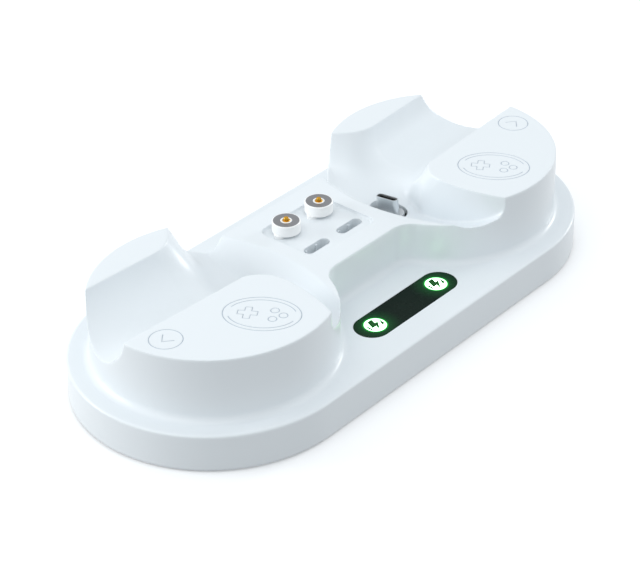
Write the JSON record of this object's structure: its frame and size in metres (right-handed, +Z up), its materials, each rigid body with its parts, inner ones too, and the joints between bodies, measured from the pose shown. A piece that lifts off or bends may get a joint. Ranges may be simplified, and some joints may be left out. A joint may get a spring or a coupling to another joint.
{
  "type": "controller charging dock",
  "caption": "Low white desk dock with two round cradles for hand-held controllers, angled charging plugs, spare magnetic charging adapters and an indicator window.",
  "frame": {"origin": "under the middle of the dock, on the plane that the feet stand on", "axes": "+X along the dock to the right-hand cradle, -Y to the front with the indicator window, +Z up"},
  "size_m": [0.1954, 0.088, 0.0336],
  "materials": {
    "white_plastic": "fine satin moulding, cool white",
    "bright_white_plastic": "semi-gloss white moulding",
    "grey_plastic": "satin light grey moulding",
    "black_window": "polished black lens",
    "black_plastic": "fine matt black moulding",
    "light_guide": "milky diffuser, lit green-white",
    "steel": "drawn nickel-plated sheet",
    "magnet_face": "mid-grey plated ring, fine turned lines",
    "gold_plate": "gold-plated, polished",
    "rubber": "matt soft rubber",
    "circuit_board": "solder-masked glass laminate",
    "ribbon_film": "white film cable"
  },
  "bodies": {
    "root": {"top_shell": "white_plastic", "bottom_cover": "grey_plastic", "foot_front_left": "rubber", "foot_front_right": "rubber", "foot_back_left": "rubber", "foot_back_right": "rubber", "cover_screws": "steel", "indicator_window": "black_window", "light_guide_left": "light_guide", "light_guide_right": "light_guide", "led_board": "circuit_board", "led_left": "bright_white_plastic", "led_right": "bright_white_plastic", "main_board": "circuit_board", "charge_chip_left": "black_plastic", "charge_chip_right": "black_plastic", "power_inductor": "black_plastic", "power_inlet_shell": "steel", "power_inlet_tongue": "black_plastic", "ribbon_left": "ribbon_film", "ribbon_right": "ribbon_film", "ribbon_led": "ribbon_film", "plug_board_left": "circuit_board", "plug_board_right": "circuit_board", "plug_holder_left": "grey_plastic", "plug_holder_right": "grey_plastic", "plug_shell_left": "steel", "plug_shell_right": "steel", "plug_insert_left": "black_plastic", "plug_insert_right": "black_plastic", "adapter_body_left": "bright_white_plastic", "adapter_body_right": "bright_white_plastic", "adapter_ring_left": "magnet_face", "adapter_ring_right": "magnet_face", "adapter_contact_left": "gold_plate", "adapter_contact_right": "gold_plate", "adapter_plug_left": "steel", "adapter_plug_right": "steel", "adapter_insert_left": "black_plastic", "adapter_insert_right": "black_plastic"}
  },
  "joints": []
}
